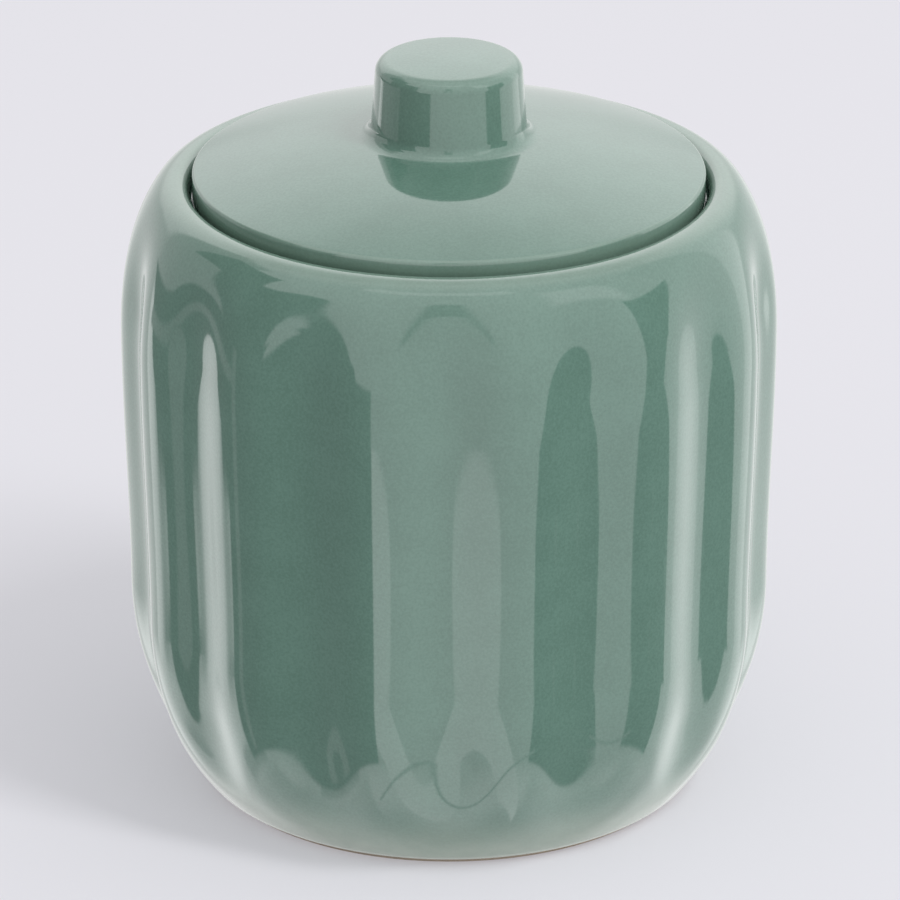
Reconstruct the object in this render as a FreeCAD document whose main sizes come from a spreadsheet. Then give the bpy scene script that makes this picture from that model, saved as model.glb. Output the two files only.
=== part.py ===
"""A lidded jar for cotton pads: a fluted, glazed vessel, an inset lid and the knob that lifts it.

Millimetres. The origin is the centre of the foot, on the surface that the jar stands on, and +Z is up.
The photographed side faces -Y, and a valley between two lobes lies on it.
"""

import FreeCAD, Part
import Sketcher
import math
import os
import re

NODES = "parts"

# How closely the skin is drawn: points on each flute, and sections on each stretch of the outline
POINTS_PER_FLUTE = 8
BASE_CURVE_STEPS = 12
SIDE_STEPS = 6
SHOULDER_STEPS = 14
# Two edges this close, in millimetres, are the same edge
SAME_EDGE = 1e-4

SIZES = {
    # The outside of the jar, measured over the lobes
    "lobe_radius": 50.0,
    "low_lobe_radius": 49.2,
    "body_height": 96.6,
    "shoulder_height": 72.3,
    "shoulder_inset": 8.7,
    "base_curve_height": 31.0,
    "base_curve_width": 35.0,
    "base_curve_depth": 41.8,
    # The flutes, which fade out on the shoulder and on the base curve
    "flute_count": 14,
    "flute_depth": 2.0,
    "flute_sharpness": 1.2,
    "flute_foot": 1.0,
    "flute_foot_fade": 20.0,
    "flute_top": 96.6,
    "flute_top_fade": 18.5,
    # The bare foot ring that the glaze stops short of
    "foot_ring_height": 0.9,
    "foot_ring_radius": 37.4,
    "foot_ring_width": 4.6,
    "foot_ring_round": 0.4,
    "foot_recess": 1.8,
    "foot_ring_bury": 1.0,
    # The inside
    "floor_height": 5.6,
    "floor_round": 8.0,
    "cavity_radius": 44.0,
    "cavity_low_curve": 36.0,
    "cavity_high_curve": 24.0,
    "cavity_high_start": 69.5,
    "neck_radius": 36.2,
    # The ledge that the lid sits on, and the lip round it
    "ledge_height": 93.4,
    "ledge_round": 0.8,
    "mouth_radius": 39.25,
    "lip_round": 1.7,
    # How far a cut runs past the face that it opens
    "overrun": 5.0,
    # The lid
    "lid_clearance": 0.5,
    "lid_edge_height": 98.1,
    "lid_edge_round": 0.7,
    "lid_seat_round": 0.7,
    "lid_thickness": 4.6,
    "dome_radius": 122.0,
    "flange_clearance": 0.8,
    "flange_width": 3.2,
    "flange_depth": 4.6,
    "flange_round": 0.9,
    # The knob
    "knob_base_radius": 11.85,
    "knob_taper": 4.2,
    "knob_root_round": 2.3,
    "knob_height": 116.1,
    "knob_crown": 0.6,
    "knob_top_round": 2.0,
}

doc = FreeCAD.newDocument("cotton_pad_holder")


def make_sheet():
    """The spreadsheet that holds the driving dimensions, one row each."""
    sheet = doc.addObject("Spreadsheet::Sheet", "Sizes")
    for row, (name, value) in enumerate(SIZES.items(), start=1):
        sheet.set(f"A{row}", name)
        sheet.set(f"B{row}", str(value))
        sheet.setAlias(f"B{row}", name)
    doc.recompute()
    return sheet


sizes = make_sheet()


def size(name):
    """A driving dimension as a plain number."""
    return float(sizes.get(name))


def bound(formula):
    """A formula in the names of SIZES, written as an expression on the spreadsheet."""
    return re.sub(r"[a-z_]+", lambda m: f"Sizes.{m[0]}" if m[0] in SIZES else m[0], formula)


def value_of(formula):
    """What a formula in the names of SIZES comes to now."""
    return float(sizes.evalExpression(bound(formula)))


# Derived places, as formulas in the names of SIZES
LID_RADIUS = "(mouth_radius - lid_clearance)"
DOME_CENTRE = f"(lid_edge_height - sqrt(dome_radius^2 - {LID_RADIUS}^2))"
TOE_RADIUS = "(knob_base_radius + knob_root_round * (1 / cos(knob_taper) - tan(knob_taper)))"
LANDING_HEIGHT = f"({DOME_CENTRE} + sqrt(dome_radius^2 - {TOE_RADIUS}^2))"
FLANGE_RADIUS = "(neck_radius - flange_clearance)"
FLANGE_INSIDE = f"({FLANGE_RADIUS} - flange_width)"
FLANGE_BOTTOM = "(ledge_height - flange_depth)"
INNER_DOME = "(dome_radius - lid_thickness)"


def on_circle(radius, across):
    """The formula for the height of a circle's edge above its centre, at a distance across from it."""
    return f"sqrt({radius}^2 - ({across})^2)"


class Profile:
    """A closed half section in the XZ plane of a body, whose corners and radii are bound to the sheet."""

    def __init__(self, body, name, start):
        self.sketch = body.newObject("Sketcher::SketchObject", name)
        plane = next(o for o in body.Origin.OriginFeatures if o.Role == "XZ_Plane")
        self.sketch.AttachmentSupport = [(plane, "")]
        self.sketch.MapMode = "FlatFace"
        self.corners = [start]
        self.edges = []

    def line(self, across, up):
        self.edges.append(None)
        self.corners.append((across, up))
        return self

    def arc(self, across, up, radius, side):
        """An arc to a corner. side is +1 if its centre lies to the left of the way there, or else -1."""
        self.edges.append((radius, side))
        self.corners.append((across, up))
        return self

    def close(self, radius=None, side=1):
        """Goes back to the first corner, along a line or along an arc where a radius is given."""
        self.edges.append(None if radius is None else (radius, side))
        points = [FreeCAD.Vector(value_of(a), value_of(u), 0) for a, u in self.corners]
        for i, edge in enumerate(self.edges):
            start, end = points[i], points[(i + 1) % len(points)]
            if edge is None:
                self.sketch.addGeometry(Part.LineSegment(start, end))
            else:
                self.sketch.addGeometry(self.arc_between(start, end, value_of(edge[0]), edge[1]))
        self.join()
        self.bind()
        return self.sketch

    @staticmethod
    def arc_between(start, end, radius, side):
        chord = end - start
        left = FreeCAD.Vector(-chord.y, chord.x, 0).normalize()
        reach = math.sqrt(radius**2 - (chord.Length / 2) ** 2)
        centre = (start + end) * 0.5 + left * (reach * side)
        middle = centre - left * (radius * side)
        return Part.Arc(start, middle, end)

    def ends(self, index):
        """The numbers of an edge's first and last point: a clockwise arc is stored the other way."""
        edge = self.edges[index]
        return (2, 1) if edge is not None and edge[1] < 0 else (1, 2)

    def join(self):
        count = len(self.edges)
        for i in range(count):
            after = (i + 1) % count
            tie = Sketcher.Constraint("Coincident", i, self.ends(i)[1], after, self.ends(after)[0])
            self.sketch.addConstraint(tie)

    def bind(self):
        for i, (across, up) in enumerate(self.corners):
            first = self.ends(i)[0]
            for kind, axis, formula in (("DistanceX", -2, across), ("DistanceY", -1, up)):
                if formula == "0":
                    self.sketch.addConstraint(Sketcher.Constraint("PointOnObject", i, first, axis))
                else:
                    self.measure(Sketcher.Constraint(kind, -1, 1, i, first, value_of(formula)), formula)
        for i, edge in enumerate(self.edges):
            if edge is not None:
                self.measure(Sketcher.Constraint("Radius", i, value_of(edge[0])), edge[0])

    def measure(self, constraint, formula):
        index = self.sketch.addConstraint(constraint)
        self.sketch.setExpression(f"Constraints[{index}]", bound(formula))


def turned(body, kind, name, profile):
    """A full turn of a half section about the vertical axis, which adds or takes away."""
    feature = body.newObject(kind, name)
    feature.Profile = profile
    feature.ReferenceAxis = (profile, ["V_Axis"])
    feature.Angle = 360
    doc.recompute()
    return feature


def rounded(body, name, radius, corners):
    """A round on the circular edges that pass through the given corners of the half section."""
    before = body.Tip
    found = []
    for across, up in corners:
        for i, edge in enumerate(before.Shape.Edges, start=1):
            if edge.Degenerated or not isinstance(edge.Curve, Part.Circle):
                continue
            wide = abs(edge.Curve.Radius - value_of(across)) < SAME_EDGE
            high = abs(edge.Curve.Center.z - value_of(up)) < SAME_EDGE
            if wide and high:
                found.append(f"Edge{i}")
    fillet = body.newObject("PartDesign::Fillet", name)
    fillet.Base = (before, found)
    fillet.setExpression("Radius", bound(radius))
    doc.recompute()
    return fillet


# The jar's skin


def eased(share):
    """Runs from 0 to 1 with a level start and end."""
    share = min(max(share, 0.0), 1.0)
    return share * share * (3 - 2 * share)


def base_curve(steps):
    """The outside from the foot ring's top up to the side, a stretch of an ellipse: radius and height."""
    depth, start = size("base_curve_depth"), size("base_curve_height")
    first = math.acos((start - size("foot_ring_height")) / depth)
    for i in range(steps):
        angle = first + (math.pi / 2 - first) * i / steps
        inset = size("base_curve_width") * (1 - math.sin(angle))
        yield size("low_lobe_radius") - inset, start - depth * math.cos(angle)


def side(steps):
    """The side, which widens a little on its way up: radius and height."""
    low, high = size("base_curve_height"), size("shoulder_height")
    gain = size("lobe_radius") - size("low_lobe_radius")
    for i in range(steps):
        share = i / steps
        yield size("low_lobe_radius") + gain * eased(share), low + (high - low) * share


def shoulder(steps):
    """The shoulder, a quarter of an ellipse that ends level at the crest of the lip: radius and height."""
    rise = size("body_height") - size("shoulder_height")
    for i in range(steps + 1):
        angle = math.pi / 2 * i / steps
        inset = size("shoulder_inset") * (1 - math.cos(angle))
        yield size("lobe_radius") - inset, size("shoulder_height") + rise * math.sin(angle)


def flute_depth_at(height):
    """How deep the valleys are at a height: nothing at either end, and full in between."""
    low = eased((height - size("flute_foot")) / size("flute_foot_fade"))
    high = eased((size("flute_top") - height) / size("flute_top_fade"))
    return size("flute_depth") * low * high


def section(radius, height):
    """A closed curve round the jar: lobes at the given radius with soft valleys between them."""
    count = int(size("flute_count"))
    depth = flute_depth_at(height)
    points = []
    for i in range(count * POINTS_PER_FLUTE):
        turn = 2 * math.pi * i / (count * POINTS_PER_FLUTE)
        # the curve starts at the back, and a valley lies at the front
        from_front = turn + math.pi
        valley = ((1 + math.cos(count * from_front)) / 2) ** size("flute_sharpness")
        reach = radius - depth * valley
        points.append(FreeCAD.Vector(-reach * math.sin(turn), reach * math.cos(turn), height))
    curve = Part.BSplineCurve()
    curve.interpolate(Points=points, PeriodicFlag=True, Parameters=list(range(len(points) + 1)))
    return Part.Wire([curve.toShape()])


def make_skin():
    """The jar's outside as one block, lofted through its sections."""
    outline = [*base_curve(BASE_CURVE_STEPS), *side(SIDE_STEPS), *shoulder(SHOULDER_STEPS)]
    skin = doc.addObject("Part::Feature", "FlutedBlock")
    skin.Shape = Part.makeLoft([section(radius, height) for radius, height in outline], True, False)
    return skin


def make_jar_body():
    """The vessel: the fluted block on its foot ring, hollowed out, with a ledge for the lid inside the lip."""
    body = doc.addObject("PartDesign::Body", "JarBody")
    body.Label = "jar_body"
    body.BaseFeature = make_skin()
    doc.recompute()

    inside_ring = "(foot_ring_radius - foot_ring_width)"
    ring_top = "foot_recess + foot_ring_bury"
    ring = Profile(body, "FootRingSection", (inside_ring, "0"))
    ring.line("foot_ring_radius", "0").line("foot_ring_radius", ring_top).line(inside_ring, ring_top)
    turned(body, "PartDesign::Revolution", "FootRing", ring.close())

    recess = Profile(body, "FootRecessSection", ("0", "foot_recess"))
    recess.line("0", "-overrun").line(inside_ring, "-overrun").line(inside_ring, "foot_recess")
    turned(body, "PartDesign::Groove", "FootRecess", recess.close())

    low_centre = "(cavity_radius - cavity_low_curve)"
    floor_radius = f"{low_centre} + " + on_circle("cavity_low_curve", "base_curve_height - floor_height")
    high_centre = "(cavity_radius - cavity_high_curve)"
    neck_low = "cavity_high_start + " + on_circle("cavity_high_curve", f"neck_radius - {high_centre}")
    hollow = Profile(body, "HollowSection", ("0", "floor_height"))
    hollow.line(floor_radius, "floor_height")
    hollow.arc("cavity_radius", "base_curve_height", "cavity_low_curve", 1)
    hollow.line("cavity_radius", "cavity_high_start")
    hollow.arc("neck_radius", neck_low, "cavity_high_curve", 1)
    hollow.line("neck_radius", "ledge_height").line("mouth_radius", "ledge_height")
    hollow.line("mouth_radius", "body_height + overrun").line("0", "body_height + overrun")
    turned(body, "PartDesign::Groove", "Hollow", hollow.close())

    rounded(body, "FootRingRound", "foot_ring_round", [("foot_ring_radius", "0"), (inside_ring, "0")])
    rounded(body, "FloorRound", "floor_round", [(floor_radius, "floor_height")])
    rounded(body, "LedgeRound", "ledge_round", [("neck_radius", "ledge_height")])
    rounded(body, "LipRound", "lip_round", [("mouth_radius", "body_height")])
    return body


# The lid


def make_lid_disc():
    """The domed disc that drops into the lip, with the flange under it that keeps it central."""
    body = doc.addObject("PartDesign::Body", "LidDisc")
    body.Label = "lid_disc"
    under = Profile(body, "LidSection", ("0", f"{DOME_CENTRE} + {INNER_DOME}"))
    under.line("0", LANDING_HEIGHT).line(TOE_RADIUS, LANDING_HEIGHT)
    under.arc(LID_RADIUS, "lid_edge_height", "dome_radius", -1)
    under.line(LID_RADIUS, "ledge_height").line(FLANGE_RADIUS, "ledge_height")
    under.line(FLANGE_RADIUS, FLANGE_BOTTOM).line(FLANGE_INSIDE, FLANGE_BOTTOM)
    under.line(FLANGE_INSIDE, f"{DOME_CENTRE} + " + on_circle(INNER_DOME, FLANGE_INSIDE))
    turned(body, "PartDesign::Revolution", "LidTurned", under.close(INNER_DOME, 1))
    rounded(body, "LidEdgeRound", "lid_edge_round", [(LID_RADIUS, "lid_edge_height")])
    rounded(body, "LidSeatRound", "lid_seat_round", [(LID_RADIUS, "ledge_height")])
    flange_edges = [(FLANGE_RADIUS, FLANGE_BOTTOM), (FLANGE_INSIDE, FLANGE_BOTTOM)]
    rounded(body, "FlangeRound", "flange_round", flange_edges)
    return body


def make_lid_knob():
    """The knob, set on the middle of the lid: a short tapered stub with a flared root and a soft top edge."""
    body = doc.addObject("PartDesign::Body", "LidKnob")
    body.Label = "lid_knob"
    root_across = f"({TOE_RADIUS} - knob_root_round * cos(knob_taper))"
    root_up = f"({LANDING_HEIGHT} + knob_root_round * (1 - sin(knob_taper)))"
    brim_up = "(knob_height - knob_crown)"
    brim_across = f"({root_across} - ({brim_up} - {root_up}) * tan(knob_taper))"
    crown_radius = f"(({brim_across}^2 + knob_crown^2) / (2 * knob_crown))"
    stub = Profile(body, "KnobSection", ("0", LANDING_HEIGHT))
    stub.line(TOE_RADIUS, LANDING_HEIGHT)
    stub.arc(root_across, root_up, "knob_root_round", -1)
    stub.line(brim_across, brim_up)
    stub.arc("0", "knob_height", crown_radius, 1)
    turned(body, "PartDesign::Revolution", "KnobTurned", stub.close())
    rounded(body, "KnobTopRound", "knob_top_round", [(brim_across, brim_up)])
    return body


def check(parts):
    """Stops the build if any object of the document has failed or any sub-part has no sound solid."""
    doc.recompute()
    for item in doc.Objects:
        if {"Invalid", "Error"} & set(item.State):
            raise RuntimeError(f"{item.Name} did not build: {item.State}")
    for part in parts:
        shape = part.Shape
        if shape.isNull() or not shape.isValid() or len(shape.Solids) != 1:
            raise RuntimeError(f"{part.Label} is not one sound solid")


def export(parts):
    """One STEP file for each sub-part, named after it."""
    os.makedirs(NODES, exist_ok=True)
    for part in parts:
        part.Shape.exportStep(f"{NODES}/{part.Label}.step")
        box = part.Shape.optimalBoundingBox()
        print(f"{part.Label}: {part.Shape.Volume / 1000:.1f} cm3, radius {box.XMax:.2f}", end=", ")
        print(f"{box.ZMin:.2f} to {box.ZMax:.2f} high")


jar_parts = [make_jar_body(), make_lid_disc(), make_lid_knob()]
check(jar_parts)
export(jar_parts)
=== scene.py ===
"""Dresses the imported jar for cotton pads: its glazed vessel, lid and knob, in a plain pale studio.

Metres. The pieces are turned about the vertical axis from half sections, lists of (radius, height).
"""

import math

import bpy
import numpy as np
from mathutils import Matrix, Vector, noise


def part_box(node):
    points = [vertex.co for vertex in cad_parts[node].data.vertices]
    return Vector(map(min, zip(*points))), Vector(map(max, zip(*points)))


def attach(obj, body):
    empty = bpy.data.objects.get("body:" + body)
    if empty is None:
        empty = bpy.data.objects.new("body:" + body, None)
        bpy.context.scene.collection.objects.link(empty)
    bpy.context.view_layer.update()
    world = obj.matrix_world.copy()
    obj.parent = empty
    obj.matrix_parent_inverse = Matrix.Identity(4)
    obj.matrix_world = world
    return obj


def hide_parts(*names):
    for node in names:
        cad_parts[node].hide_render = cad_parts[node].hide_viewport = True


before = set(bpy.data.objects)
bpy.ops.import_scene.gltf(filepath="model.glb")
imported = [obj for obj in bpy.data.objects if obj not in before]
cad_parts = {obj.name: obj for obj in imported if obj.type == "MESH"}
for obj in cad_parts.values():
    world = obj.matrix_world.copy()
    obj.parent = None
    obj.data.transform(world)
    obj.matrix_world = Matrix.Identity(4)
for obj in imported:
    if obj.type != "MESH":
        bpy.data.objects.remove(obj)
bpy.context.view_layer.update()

MM = 0.001

# The photograph: a square picture taken from in front and above
IMAGE_SIDE = 900
CAMERA_DISTANCE = 1.0
CAMERA_ELEVATION = math.radians(23.2)
CAMERA_AIM_HEIGHT = 51.9 * MM
CAMERA_SENSOR = 36.0
FOCAL_LENGTH_IN_PIXELS = 6514
JAR_AXIS_IN_PIXELS = 449

# What the frame says of the jar
jar_low, jar_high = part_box("jar_body")
disc_low, disc_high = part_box("lid_disc")
knob_low, knob_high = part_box("lid_knob")
LOBE_RADIUS = jar_high.x
BODY_HEIGHT = jar_high.z
LID_RADIUS = disc_high.x
FLANGE_BOTTOM = disc_low.z
LANDING_HEIGHT = knob_low.z
KNOB_HEIGHT = knob_high.z

# The outside of the jar, measured over the lobes
LOW_LOBE_RADIUS = 49.2 * MM
SHOULDER_HEIGHT = 72.3 * MM
SHOULDER_INSET = 8.7 * MM
BASE_CURVE_HEIGHT = 31.0 * MM
BASE_CURVE_WIDTH = 35.0 * MM
BASE_CURVE_DEPTH = 41.8 * MM
FLUTE_COUNT = 14
FLUTE_DEPTH = 2.0 * MM
FLUTE_SHARPNESS = 1.2
FLUTE_FOOT = 1.0 * MM
FLUTE_FOOT_FADE = 20.0 * MM
FLUTE_TOP = 96.6 * MM
FLUTE_TOP_FADE = 18.5 * MM
SKIN_BOTTOM = 0.9 * MM
SKIN_BOTTOM_ROUND = 0.35 * MM
FOOT_RING_RADIUS = 37.4 * MM
FOOT_RING_WIDTH = 4.6 * MM
FOOT_RING_ROUND = 0.4 * MM
FOOT_RECESS = 1.8 * MM

# The inside of the jar
FLOOR_HEIGHT = 5.6 * MM
FLOOR_ROUND = 8.0 * MM
CAVITY_RADIUS = 44.0 * MM
CAVITY_LOW_CURVE = 36.0 * MM
CAVITY_HIGH_CURVE = 24.0 * MM
CAVITY_HIGH_START = 69.5 * MM
NECK_RADIUS = 36.2 * MM
LEDGE_HEIGHT = 93.4 * MM
LEDGE_ROUND = 0.8 * MM
LEDGE_FILL = 0.4 * MM
MOUTH_RADIUS = 39.25 * MM
LIP_ROUND = 1.7 * MM

# The lid and its knob
LID_EDGE_HEIGHT = 98.1 * MM
LID_EDGE_ROUND = 0.7 * MM
LID_SEAT_ROUND = 0.7 * MM
LID_THICKNESS = 4.6 * MM
DOME_RADIUS = 122.0 * MM
FLANGE_RADIUS = NECK_RADIUS - 0.8 * MM
FLANGE_WIDTH = 3.2 * MM
FLANGE_ROUND = 0.9 * MM
KNOB_BASE_RADIUS = 11.85 * MM
KNOB_TAPER = math.radians(4.2)
KNOB_ROOT_ROUND = 2.3 * MM
KNOB_CROWN = 0.6 * MM
KNOB_TOP_ROUND = 2.0 * MM

# Where the glaze thins out, above the foot and on the lip, and by how much of its thickness
FOOT_THIN_TOP = 12.0 * MM
LIP_THIN_START = 95.2 * MM
LIP_THIN_RISE = 1.2 * MM
BEAD_THIN = 1.0
FOOT_THIN = 0.9
RECESS_THIN = 0.5
SEAT_THIN = 0.3
MOUTH_THIN = 0.2
LIP_THIN = 0.15
BRIM_THIN = 0.05
BEAD_BARE = 0.8

# How closely the pieces are drawn
BASE_STEPS = 56
WALL_STEPS = 24
SHOULDER_STEPS = 60
COLUMNS_PER_FLUTE = 24
LID_COLUMNS = 240
SAME_POINT = 1e-7
SHARP_TURN = math.radians(40)

# How far the pressed clay and the thick glaze stray from a true form: long waves all over, ripples low down
WAVE_HEIGHT = 0.05 * MM
WAVE_LENGTH = 24.0 * MM
RIPPLE_HEIGHT = 0.05 * MM
RIPPLE_LENGTH = 7.0 * MM
RIPPLE_TOP = 24.0 * MM
STRAY_FADE = 3.0 * MM


def eased(share):
    """Runs from 0 to 1 with a level start and end."""
    share = np.clip(share, 0.0, 1.0)
    return share * share * (3 - 2 * share)


class Section:
    """A half section, from its first point to its last.

    Along it, thin says how much the glaze thins out, bare is 1 on clay with no glaze, and fluted is 1 where
    the valleys are pressed in. Creases are points where the skin is sharp although it turns only a little.
    """

    def __init__(self):
        self.points = []
        self.thin = []
        self.bare = []
        self.fluted = []
        self.creases = []

    def crease(self):
        self.creases.append(len(self.points) - 1)

    def add(self, points, thin=0.0, bare=0.0, fluted=0.0):
        for point in points:
            if self.points and math.dist(self.points[-1], point) < SAME_POINT:
                continue
            self.points.append(point)
            self.thin.append(thin)
            self.bare.append(bare)
            self.fluted.append(fluted)

    def line(self, start, end, steps, **finish):
        shares = [i / steps for i in range(steps + 1)]
        across, up = end[0] - start[0], end[1] - start[1]
        self.add([(start[0] + across * s, start[1] + up * s) for s in shares], **finish)

    def arc(self, centre, radius, first, last, steps, **finish):
        angles = [first + (last - first) * i / steps for i in range(steps + 1)]
        points = [(centre[0] + radius * math.cos(a), centre[1] + radius * math.sin(a)) for a in angles]
        self.add(points, **finish)


def on_circle(radius, across):
    """The height of a circle's edge above its centre, at a distance across from it."""
    return math.sqrt(radius**2 - across**2)


QUARTER = math.pi / 2


def flute_depth_at(height):
    """How deep the valleys are at a height: nothing at either end, and full in between."""
    low = eased((height - FLUTE_FOOT) / FLUTE_FOOT_FADE)
    high = eased((FLUTE_TOP - height) / FLUTE_TOP_FADE)
    return FLUTE_DEPTH * low * high


def jar_section():
    """The jar's half section over a lobe: from under the foot, up outside, over the lip and down inside."""
    ring_inside = FOOT_RING_RADIUS - FOOT_RING_WIDTH
    s = Section()
    s.line((0, FOOT_RECESS), (ring_inside, FOOT_RECESS), 8, thin=RECESS_THIN)
    s.line((ring_inside, FOOT_RECESS), (ring_inside, FOOT_RING_ROUND), 2, bare=1.0)
    inner_edge = (ring_inside + FOOT_RING_ROUND, FOOT_RING_ROUND)
    outer_edge = (FOOT_RING_RADIUS - FOOT_RING_ROUND, FOOT_RING_ROUND)
    s.arc(inner_edge, FOOT_RING_ROUND, math.pi, 3 * QUARTER, 4, bare=1.0)
    s.arc(outer_edge, FOOT_RING_ROUND, -QUARTER, 0, 4, bare=1.0)
    s.line((FOOT_RING_RADIUS, FOOT_RING_ROUND), (FOOT_RING_RADIUS, SKIN_BOTTOM), 1, bare=1.0)

    first = math.acos((BASE_CURVE_HEIGHT - SKIN_BOTTOM) / BASE_CURVE_DEPTH)
    skin_edge = LOW_LOBE_RADIUS - BASE_CURVE_WIDTH * (1 - math.sin(first))
    bead = skin_edge - SKIN_BOTTOM_ROUND
    bead_centre = (bead, SKIN_BOTTOM + SKIN_BOTTOM_ROUND)
    s.line((FOOT_RING_RADIUS, SKIN_BOTTOM), (bead, SKIN_BOTTOM), 1, bare=BEAD_BARE)
    s.arc(bead_centre, SKIN_BOTTOM_ROUND, -QUARTER, -0.6 * QUARTER, 2, thin=BEAD_THIN)
    for i in range(1, BASE_STEPS + 1):
        angle = first + (QUARTER - first) * i / BASE_STEPS
        radius = LOW_LOBE_RADIUS - BASE_CURVE_WIDTH * (1 - math.sin(angle))
        height = BASE_CURVE_HEIGHT - BASE_CURVE_DEPTH * math.cos(angle)
        thin = FOOT_THIN * eased((FOOT_THIN_TOP - height) / FOOT_THIN_TOP)
        s.add([(radius, height)], thin=thin, fluted=1.0)
    for i in range(1, WALL_STEPS + 1):
        radius = LOW_LOBE_RADIUS + (LOBE_RADIUS - LOW_LOBE_RADIUS) * eased(i / WALL_STEPS)
        height = BASE_CURVE_HEIGHT + (SHOULDER_HEIGHT - BASE_CURVE_HEIGHT) * i / WALL_STEPS
        s.add([(radius, height)], fluted=1.0)
    for i in range(1, SHOULDER_STEPS + 1):
        angle = QUARTER * i / SHOULDER_STEPS
        radius = LOBE_RADIUS - SHOULDER_INSET * (1 - math.cos(angle))
        height = SHOULDER_HEIGHT + (BODY_HEIGHT - SHOULDER_HEIGHT) * math.sin(angle)
        thin = LIP_THIN * eased((height - LIP_THIN_START) / LIP_THIN_RISE)
        s.add([(radius, height)], thin=thin, fluted=1.0)

    lip_centre = (MOUTH_RADIUS + LIP_ROUND, BODY_HEIGHT - LIP_ROUND)
    ledge_corner = (MOUTH_RADIUS - LEDGE_FILL, LEDGE_HEIGHT + LEDGE_FILL)
    ledge_edge = (NECK_RADIUS + LEDGE_ROUND, LEDGE_HEIGHT - LEDGE_ROUND)
    s.arc(lip_centre, LIP_ROUND, QUARTER, math.pi, 9, thin=MOUTH_THIN)
    s.arc(ledge_corner, LEDGE_FILL, 0, -QUARTER, 4)
    s.arc(ledge_edge, LEDGE_ROUND, QUARTER, math.pi, 6, thin=SEAT_THIN)

    high_centre = CAVITY_RADIUS - CAVITY_HIGH_CURVE
    neck_turn = math.acos((NECK_RADIUS - high_centre) / CAVITY_HIGH_CURVE)
    s.arc((high_centre, CAVITY_HIGH_START), CAVITY_HIGH_CURVE, neck_turn, 0, 14)
    low_centre = CAVITY_RADIUS - CAVITY_LOW_CURVE
    s.line((CAVITY_RADIUS, CAVITY_HIGH_START), (CAVITY_RADIUS, BASE_CURVE_HEIGHT), 10)
    floor_rise = BASE_CURVE_HEIGHT - FLOOR_HEIGHT - FLOOR_ROUND
    floor_reach = on_circle(CAVITY_LOW_CURVE - FLOOR_ROUND, floor_rise)
    meeting = math.atan2(-floor_rise, floor_reach)
    s.arc((low_centre, BASE_CURVE_HEIGHT), CAVITY_LOW_CURVE, 0, meeting, 14)
    floor_round_centre = (low_centre + floor_reach, FLOOR_HEIGHT + FLOOR_ROUND)
    s.arc(floor_round_centre, FLOOR_ROUND, meeting, -QUARTER, 10)
    s.line((low_centre + floor_reach, FLOOR_HEIGHT), (0, FLOOR_HEIGHT), 8)
    return s


DOME_CENTRE = LID_EDGE_HEIGHT - on_circle(DOME_RADIUS, LID_RADIUS)
LANDING_RADIUS = on_circle(DOME_RADIUS, LANDING_HEIGHT - DOME_CENTRE)


def tangent_centre(across, slope, reach):
    """Where a rounding circle's centre lies when it touches a leaning line and a circle round the axis.

    The line, moved by the rounding's radius, is at across less slope times the height, and reach is how far
    the centre lies from the other circle's centre, which heights are measured from.
    """
    a, b = 1 + slope**2, across * slope
    up = (b + math.sqrt(b**2 - a * (across**2 - reach**2))) / a
    return across - slope * up, up


def disc_section():
    """The lid disc's half section: from the middle of its top, over the edge and back under the dome."""
    edge_centre = LID_RADIUS - LID_EDGE_ROUND
    edge_rise = on_circle(DOME_RADIUS - LID_EDGE_ROUND, edge_centre)
    edge_turn = math.atan2(edge_rise, edge_centre)
    s = Section()
    s.line((0, LANDING_HEIGHT), (LANDING_RADIUS, LANDING_HEIGHT), 3)
    s.crease()
    s.arc((0, DOME_CENTRE), DOME_RADIUS, math.acos(LANDING_RADIUS / DOME_RADIUS), edge_turn, 30)
    s.arc((edge_centre, DOME_CENTRE + edge_rise), LID_EDGE_ROUND, edge_turn, 0, 10, thin=LIP_THIN)
    seat_centre = (LID_RADIUS - LID_SEAT_ROUND, LEDGE_HEIGHT + LID_SEAT_ROUND)
    s.arc(seat_centre, LID_SEAT_ROUND, 0, -QUARTER, 5, thin=SEAT_THIN)
    inside = FLANGE_RADIUS - FLANGE_WIDTH
    round_height = FLANGE_BOTTOM + FLANGE_ROUND
    s.line((FLANGE_RADIUS, LEDGE_HEIGHT), (FLANGE_RADIUS, round_height), 4)
    s.arc((FLANGE_RADIUS - FLANGE_ROUND, round_height), FLANGE_ROUND, 0, -QUARTER, 5, bare=1.0)
    s.arc((inside + FLANGE_ROUND, round_height), FLANGE_ROUND, -QUARTER, -math.pi, 5, bare=1.0)
    under = DOME_RADIUS - LID_THICKNESS
    under_turn = math.acos(inside / under)
    s.line((inside, round_height), (inside, DOME_CENTRE + on_circle(under, inside)), 4)
    s.arc((0, DOME_CENTRE), under, under_turn, QUARTER, 24)
    return s


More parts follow.
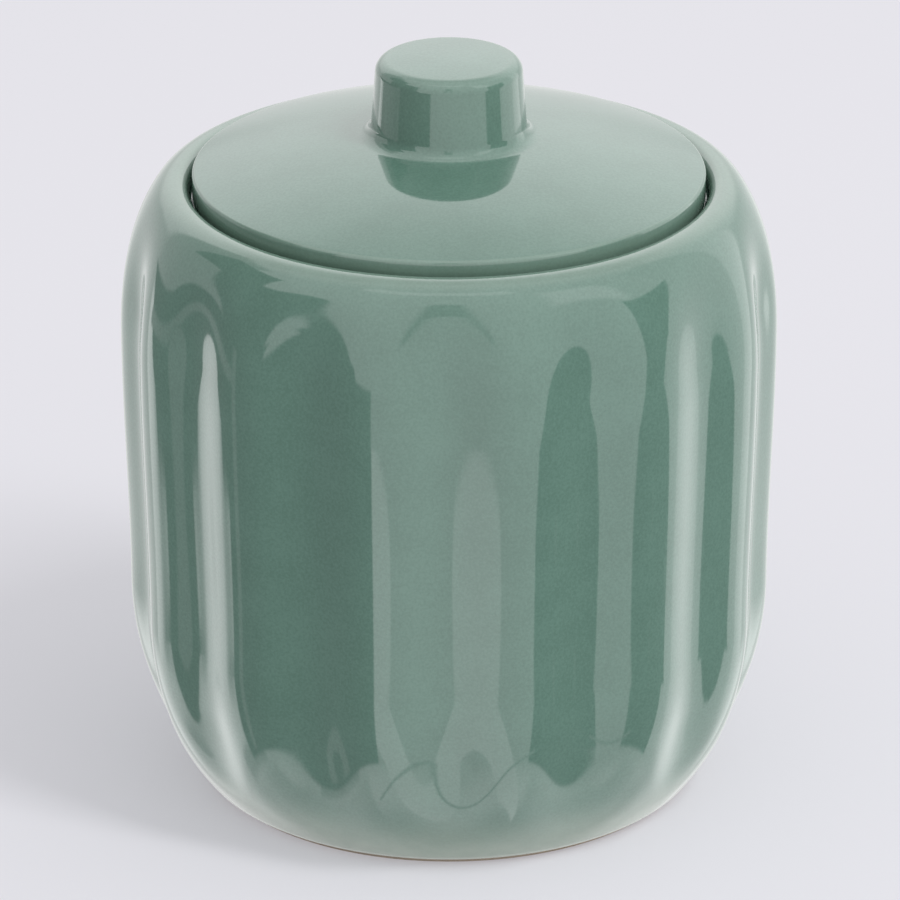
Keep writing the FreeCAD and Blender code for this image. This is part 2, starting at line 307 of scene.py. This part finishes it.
def knob_section():
    """The knob's half section: up its flared root and leaning side, over the brim and across the crown."""
    lean = math.tan(KNOB_TAPER)
    brim_up = KNOB_HEIGHT - KNOB_CROWN
    brim_across = KNOB_BASE_RADIUS - (brim_up - LANDING_HEIGHT) * lean
    crown_radius = (brim_across**2 + KNOB_CROWN**2) / (2 * KNOB_CROWN)
    crown_centre = KNOB_HEIGHT - crown_radius

    def side_at(height):
        return KNOB_BASE_RADIUS - (height - LANDING_HEIGHT) * lean

    root = side_at(DOME_CENTRE) + KNOB_ROOT_ROUND / math.cos(KNOB_TAPER)
    root_x, root_up = tangent_centre(root, lean, DOME_RADIUS + KNOB_ROOT_ROUND)
    toe_turn = math.atan2(root_up, root_x)
    brim = side_at(crown_centre) - KNOB_TOP_ROUND / math.cos(KNOB_TAPER)
    brim_x, brim_rise = tangent_centre(brim, lean, crown_radius - KNOB_TOP_ROUND)
    brim_turn = math.atan2(brim_rise, brim_x)

    s = Section()
    s.line((0, LANDING_HEIGHT), (LANDING_RADIUS, LANDING_HEIGHT), 3)
    root_centre = (root_x, DOME_CENTRE + root_up)
    s.arc(root_centre, KNOB_ROOT_ROUND, toe_turn + math.pi, math.pi + KNOB_TAPER, 12)
    s.arc((brim_x, crown_centre + brim_rise), KNOB_TOP_ROUND, KNOB_TAPER, brim_turn, 14, thin=BRIM_THIN)
    s.arc((0, crown_centre), crown_radius, brim_turn, QUARTER, 10)
    return s


def strays(radius, height, turn):
    """How far the outside strays inwards from its true form at a height, for every azimuth in turn."""
    fade = eased((height - SKIN_BOTTOM) / STRAY_FADE) * eased((BODY_HEIGHT - height) / STRAY_FADE)
    ripple = RIPPLE_HEIGHT * eased((RIPPLE_TOP - height) / RIPPLE_TOP)
    found = []
    for a in turn:
        place = Vector((radius * math.sin(a), -radius * math.cos(a), height))
        wave = WAVE_HEIGHT * (noise.noise(place / WAVE_LENGTH) - 1)
        found.append(fade * (wave + ripple * (noise.noise(place / RIPPLE_LENGTH) - 1)))
    return np.array(found)


def ring_reach(radius, height, fluted, turn):
    """The distance from the axis round one ring, for every azimuth in turn."""
    if not fluted:
        return np.full(len(turn), radius)
    valley = ((1 + np.cos(FLUTE_COUNT * turn)) / 2) ** FLUTE_SHARPNESS
    return radius - flute_depth_at(height) * valley + strays(radius, height, turn)


def turned(name, section, columns):
    """A closed mesh from a half section turned about the vertical axis, whose two ends lie on that axis."""
    turn = 2 * math.pi * np.arange(columns) / columns
    places = [(0.0, 0.0, section.points[0][1])]
    rings = list(zip(section.points, section.fluted))[1:-1]
    for (radius, height), fluted in rings:
        reach = ring_reach(radius, height, fluted, turn)
        places += zip(reach * np.sin(turn), -reach * np.cos(turn), np.full(columns, height))
    places.append((0.0, 0.0, section.points[-1][1]))

    last_ring = 1 + (len(rings) - 1) * columns
    faces = []
    for i in range(columns):
        after = (i + 1) % columns
        faces.append((0, 1 + after, 1 + i))
        for below in range(1, last_ring, columns):
            above = below + columns
            faces.append((below + i, below + after, above + after, above + i))
        faces.append((last_ring + i, last_ring + after, len(places) - 1))

    mesh = bpy.data.meshes.new(name)
    mesh.from_pydata([tuple(map(float, place)) for place in places], [], faces)
    mesh.shade_smooth()
    mesh.set_sharp_from_angle(angle=SHARP_TURN)
    for edge in mesh.edges:
        low, high = sorted((index - 1) // columns + 1 for index in edge.vertices)
        if low == high and low in section.creases:
            edge.use_edge_sharp = True
    for label, values in (("thin", section.thin), ("bare", section.bare)):
        layer = mesh.attributes.new(label, "FLOAT", "POINT")
        spread = [values[0], *np.repeat(values[1:-1], columns), values[-1]]
        layer.data.foreach_set("value", np.array(spread, np.float32))
    piece = bpy.data.objects.new(name, mesh)
    bpy.context.scene.collection.objects.link(piece)
    return piece


class Net:
    """A node tree under construction."""

    def __init__(self, tree):
        self.tree = tree
        tree.nodes.clear()

    def add(self, kind, inputs=(), **settings):
        """A node with its settings, and its inputs by name or number: values or other nodes' outputs."""
        node = self.tree.nodes.new(kind)
        for name, value in settings.items():
            setattr(node, name, value)
        for key, value in dict(inputs).items():
            if isinstance(value, bpy.types.NodeSocket):
                self.tree.links.new(value, node.inputs[key])
            else:
                node.inputs[key].default_value = value
        return node

    def math(self, operation, *values):
        return self.add("ShaderNodeMath", enumerate(values), operation=operation).outputs[0]

    def rise(self, value, low, high):
        """Runs smoothly from 0 at low to 1 at high, which may be the smaller of the two."""
        inputs = {"Value": value, "From Min": low, "From Max": high}
        return self.add("ShaderNodeMapRange", inputs, interpolation_type="SMOOTHSTEP").outputs[0]

    def blend(self, share, first, second):
        """From one number to another."""
        return self.add("ShaderNodeMix", {0: share, 2: first, 3: second}, data_type="FLOAT").outputs[0]

    def blend_colours(self, share, first, second):
        """From one colour to another."""
        return self.add("ShaderNodeMix", {0: share, 6: first, 7: second}, data_type="RGBA").outputs[2]

    def noise(self, place, scale, detail=2.0, roughness=0.5):
        """A noise in object space, from 0 to 1, whose scale is in waves per metre."""
        inputs = {"Vector": place, "Scale": scale, "Detail": detail, "Roughness": roughness}
        return self.add("ShaderNodeTexNoise", inputs).outputs["Fac"]


# Colours, linear
GLAZE_DARK = (0.090, 0.178, 0.138, 1)
GLAZE_LIGHT = (0.116, 0.218, 0.173, 1)
GLAZE_THIN = (0.36, 0.42, 0.35, 1)
CLAY_DARK = (0.36, 0.29, 0.22, 1)
CLAY_LIGHT = (0.50, 0.42, 0.33, 1)
BACKGROUND = (0.776, 0.768, 0.815, 1)

# The glaze and the clay: noises in waves per metre, roughness, and relief
SPECKLE_SCALE = 2400
SPECKLE_SHARE = 0.65
CLOUD_SCALE = 130
BROKEN_SCALE = 420
FRINGE_SCALE = 500
SKIN_SCALE = 700
GLOSS_SCALE = 90
GRAIN_SCALE = 2600
GLAZE_IOR = 1.62
GLAZE_ROUGHNESS = (0.035, 0.075)
CLAY_ROUGHNESS = 0.85
RELIEF = 0.004 * MM
SKIN_RELIEF = 0.35
GRAIN_RELIEF = 6.0


def ceramic(name, seed):
    """Glossy sage green glaze with a fine mottle, paler where it thins, over a fine buff clay."""
    material = bpy.data.materials.new(name)
    material.use_nodes = True
    net = Net(material.node_tree)
    place = net.add("ShaderNodeTexCoord").outputs["Object"]
    place = net.add("ShaderNodeVectorMath", {0: place, 1: (seed, 0, 0)}, operation="ADD").outputs[0]
    thin = net.add("ShaderNodeAttribute", attribute_name="thin").outputs["Fac"]
    bare = net.add("ShaderNodeAttribute", attribute_name="bare").outputs["Fac"]

    speckle = net.math("MULTIPLY", net.noise(place, SPECKLE_SCALE, 2.0, 0.6), SPECKLE_SHARE)
    cloud = net.math("MULTIPLY", net.noise(place, CLOUD_SCALE, 3.0), 1 - SPECKLE_SHARE)
    mottle = net.rise(net.math("ADD", speckle, cloud), 0.3, 0.7)
    glaze = net.blend_colours(mottle, GLAZE_DARK, GLAZE_LIGHT)
    broken = net.math("MULTIPLY", thin, net.blend(net.noise(place, BROKEN_SCALE, 3.0), 0.7, 1.1))
    glaze = net.blend_colours(broken, glaze, GLAZE_THIN)

    grain = net.noise(place, GRAIN_SCALE, 4.0, 0.7)
    clay = net.blend_colours(grain, CLAY_DARK, CLAY_LIGHT)
    fringe = net.math("MULTIPLY", net.noise(place, FRINGE_SCALE), 0.3)
    edge = net.rise(net.math("ADD", bare, fringe), 0.5, 0.75)
    colour = net.blend_colours(edge, glaze, clay)
    gloss = net.blend(net.noise(place, GLOSS_SCALE), *GLAZE_ROUGHNESS)
    roughness = net.blend(edge, gloss, CLAY_ROUGHNESS)

    skin = net.math("MULTIPLY", net.noise(place, SKIN_SCALE, 1.0), net.blend(edge, SKIN_RELIEF, 0.0))
    tooth = net.math("MULTIPLY", grain, net.blend(edge, 0.0, GRAIN_RELIEF))
    relief = {"Height": net.math("ADD", skin, tooth), "Strength": 1.0, "Distance": RELIEF}
    bump = net.add("ShaderNodeBump", relief).outputs[0]
    look = {"Base Color": colour, "Roughness": roughness, "IOR": GLAZE_IOR, "Normal": bump}
    shader = net.add("ShaderNodeBsdfPrincipled", look)
    net.add("ShaderNodeOutputMaterial", {"Surface": shader.outputs[0]})
    return material


def make_pieces():
    """The three pieces of the jar, each on its body in place of its node."""
    made = [
        ("glazed_jar", jar_section(), COLUMNS_PER_FLUTE * FLUTE_COUNT, "jar", "jar_body", "glazed_body"),
        ("glazed_lid_disc", disc_section(), LID_COLUMNS, "lid", "lid_disc", "glazed_lid"),
        ("glazed_lid_knob", knob_section(), LID_COLUMNS, "lid", "lid_knob", "glazed_knob"),
    ]
    for seed, (name, section, columns, body, node, slot) in enumerate(made):
        piece = turned(name, section, columns)
        piece.data.materials.append(ceramic(name, seed))
        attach(piece, body)
        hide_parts(node)


# The studio in the glaze: a pale tent all round, with cards in it, as azimuth and elevation in degrees.
# Azimuth 0 is towards the camera, and +90 is along +X. A card covers those above it in the list.
PLAIN_LEVEL = 0.74
PLAIN_LEAN = 0.35
PLAIN_SIDE = 62
TENT_LOW = 1.6
TENT_HIGH = 2.1
TENT_RISE = (-20, 80)
CARDS = [
    # from and to in azimuth, from and to in elevation, how its sides and its ends lean, softness, level
    # the backdrop high up
    (150, 210, -40, 5, 0, 0, 16, 1.0),
    (125, 245, 22, 50, 0, 0, 14, 2.35),
    (120, 240, 50, 75, 0, 0, 8, 1.7),
    # the table round the foot
    (-181, 181, -120, -50, 0, 0, 4, 2.1),
    (-140, -50, -120, -50, 0, 0, 6, 1.5),
    (50, 140, -120, -50, 0, 0, 6, 1.65),
    (110, 250, -120, -48, 0, 0, 14, 1.2),
    (-181, 181, -120, -71, 0, 0, 12, 1.1),
    # the backdrop behind the jar
    (133, 160, -28, 10, 0, 0, 6, 1.25),
    (-148, -128, -28, 10, 0, 0, 3, 1.25),
    (144, 172, -60, 8, 0, 0, 5, 1.25),
    (-172, -146, -60, 8, 0, 0, 4, 1.2),
    (169, 193, -60, -14, 0, 0, 3, 0.85),
    # the bright walls at both sides
    (-130, -98, -30, -8, 0, 0, 2, 2.3),
    (-148, -98, -42, -27, 0, 0, 4, 2.1),
    (-113, -98, -30, -8, 0, 0, 5, 1.3),
    (-130, -98, -9, 50, 0, 0, 3, 1.05),
    (88, 114, -43, 50, 0, 0, 2, 1.75),
    (113, 133, -30, 50, 0, 0, 1.5, 2.2),
    (113, 148, -41, -27, 0, 0, 4, 2.1),
    (-117, -66, -51, -43, 0, 0, 2, 1.05),
    # the table in front
    (-22, 17.7, -64, -26.8, -1.27, -0.2, 1, 2.35),
    # the dark flag on the left
    (-99, -50, -5, 31, 0, 0, 1, 0.35),
    (-113, -78, 20, 44, 0, 0, 1, 0.35),
    (-120, -50, -25, -4, -1.2, 0, 1, 0.35),
    (-100, -28, -25, -6.2, 0, 0, 1, 0.35),
    (-100, -47, -25, -2.5, 0, 0, 1, 0.35),
    (-96, -28, -48, -23, 0, 0, 1, 0.35),
    (-94, -84, -24, -4, 0, 0, 1, 0.35),
    (-85.6, -80, -46, -6, 0, 0, 0.6, 0.72),
    (-125, -86, -14.5, -11.5, 0, 0, 0.7, 0.75),
    # the dark flag on the right
    (62, 92, -5, 21, 0, 0, 1, 0.34),
    (52, 80, -27, -4, 0.95, 0, 1, 0.34),
    (64, 90, -27, -14, -1.2, 0, 1, 0.34),
    (41, 92, -47, -26, 0, 0, 1, 0.34),
    # the camera on its stand, the table's front edge, and the lamps above
    (-7, 5, 9, 42, 0, 0, 2.5, 0.9),
    (-3.4, 2.8, -8, 24, 0, 0, 2, 1.62),
    (-40, 50, -53.6, -52.4, 0, 0.25, 0.6, 1.0),
    (-55, 40, 62, 70, 0, 0, 2, 2.8),
    (45, 68, 26, 50, 0, -0.4, 4, 2.7),
]
KEY_AZIMUTH = 54
KEY_ELEVATION = 52
KEY_DISTANCE = 2.6
KEY_WIDTH = 0.45
KEY_LENGTH = 1.2
KEY_POWER = 26.0


def towards(azimuth, elevation):
    """The unit vector at an azimuth and elevation in degrees."""
    a, e = math.radians(azimuth), math.radians(elevation)
    return Vector((math.sin(a) * math.cos(e), -math.cos(a) * math.cos(e), math.sin(e)))


def make_tent():
    """The world: plain light, stronger from the right, for the glaze's own colour, the tent and its flags in
    mirrored rays, and a pale backdrop."""
    world = bpy.data.worlds.new("studio")
    bpy.context.scene.world = world
    world.use_nodes = True
    net = Net(world.node_tree)
    way = net.add("ShaderNodeTexCoord").outputs["Generated"]
    x, y, z = net.add("ShaderNodeSeparateXYZ", {0: way}).outputs
    elevation = net.math("DEGREES", net.math("ARCSINE", z))
    azimuth = net.math("DEGREES", net.math("ARCTAN2", x, net.math("MULTIPLY", y, -1.0)))
    level = net.blend(net.rise(elevation, *TENT_RISE), TENT_LOW, TENT_HIGH)
    for left, right, low, high, side_lean, end_lean, softness, card in CARDS:
        across = net.math("WRAP", net.math("SUBTRACT", azimuth, (left + right) / 2), 180, -180)
        up = net.math("SUBTRACT", elevation, (low + high) / 2)
        beside = net.math("ABSOLUTE", net.math("MULTIPLY_ADD", up, -side_lean, across))
        above = net.math("ABSOLUTE", net.math("MULTIPLY_ADD", across, -end_lean, up))
        half_width, half_height = (right - left) / 2, (high - low) / 2
        beside = net.rise(beside, half_width + softness, half_width - softness)
        above = net.rise(above, half_height + softness, half_height - softness)
        level = net.blend(net.math("MULTIPLY", beside, above), level, card)
    ray = net.add("ShaderNodeLightPath").outputs
    side = {0: way, 1: towards(PLAIN_SIDE, 0)}
    side = net.add("ShaderNodeVectorMath", side, operation="DOT_PRODUCT").outputs["Value"]
    plain = net.math("MULTIPLY_ADD", side, PLAIN_LEVEL * PLAIN_LEAN, PLAIN_LEVEL)
    lit = net.blend(ray["Is Glossy Ray"], plain, level)
    colour = net.blend_colours(ray["Is Camera Ray"], lit, BACKGROUND)
    net.add("ShaderNodeOutputWorld", {0: net.add("ShaderNodeBackground", {0: colour}).outputs[0]})


def make_key():
    """The soft box to the right, which gives the jar its shadow. Its mirror image is one of the cards."""
    lamp = bpy.data.lights.new("key", "AREA")
    lamp.shape = "RECTANGLE"
    lamp.size, lamp.size_y = KEY_WIDTH, KEY_LENGTH
    lamp.energy = KEY_POWER
    key = bpy.data.objects.new("key", lamp)
    bpy.context.scene.collection.objects.link(key)
    back = towards(KEY_AZIMUTH, KEY_ELEVATION)
    key.location = Vector((0, 0, CAMERA_AIM_HEIGHT)) + back * KEY_DISTANCE
    key.rotation_mode = "QUATERNION"
    key.rotation_quaternion = back.to_track_quat("Z", "Y")
    key.visible_glossy = False


FLOOR_SIDE = 12.0
FLOOR_COLOUR = (0.805, 0.797, 0.846, 1)
FLOOR_EVENNESS = 0.4


def make_floor():
    """The pale table top, which takes the jar's shadow. The camera sees part of it as the even backdrop."""
    mesh = bpy.data.meshes.new("floor")
    half = FLOOR_SIDE / 2
    corners = [(-half, -half, 0), (half, -half, 0), (half, half, 0), (-half, half, 0)]
    mesh.from_pydata(corners, [], [(0, 1, 2, 3)])
    material = bpy.data.materials.new("floor")
    material.use_nodes = True
    net = Net(material.node_tree)
    lit = net.add("ShaderNodeBsdfDiffuse", {"Color": FLOOR_COLOUR}).outputs[0]
    even = net.add("ShaderNodeEmission", {"Color": BACKGROUND}).outputs[0]
    seen = net.add("ShaderNodeLightPath").outputs["Is Camera Ray"]
    share = net.math("MULTIPLY", seen, FLOOR_EVENNESS)
    shader = net.add("ShaderNodeMixShader", {0: share, 1: lit, 2: even})
    net.add("ShaderNodeOutputMaterial", {"Surface": shader.outputs[0]})
    mesh.materials.append(material)
    floor = bpy.data.objects.new("floor", mesh)
    bpy.context.scene.collection.objects.link(floor)
    floor.visible_glossy = False


def make_camera():
    """The photograph's view."""
    data = bpy.data.cameras.new("camera")
    data.sensor_width = CAMERA_SENSOR
    data.lens = FOCAL_LENGTH_IN_PIXELS * CAMERA_SENSOR / IMAGE_SIDE
    data.shift_x = (IMAGE_SIDE / 2 - JAR_AXIS_IN_PIXELS) / IMAGE_SIDE
    camera = bpy.data.objects.new("camera", data)
    bpy.context.scene.collection.objects.link(camera)
    back = towards(0, math.degrees(CAMERA_ELEVATION))
    camera.location = Vector((0, 0, CAMERA_AIM_HEIGHT)) + back * CAMERA_DISTANCE
    camera.rotation_mode = "QUATERNION"
    camera.rotation_quaternion = back.to_track_quat("Z", "Y")
    bpy.context.scene.camera = camera


bpy.context.scene.view_settings.view_transform = "Standard"
make_camera()
make_pieces()
make_floor()
make_tent()
make_key()
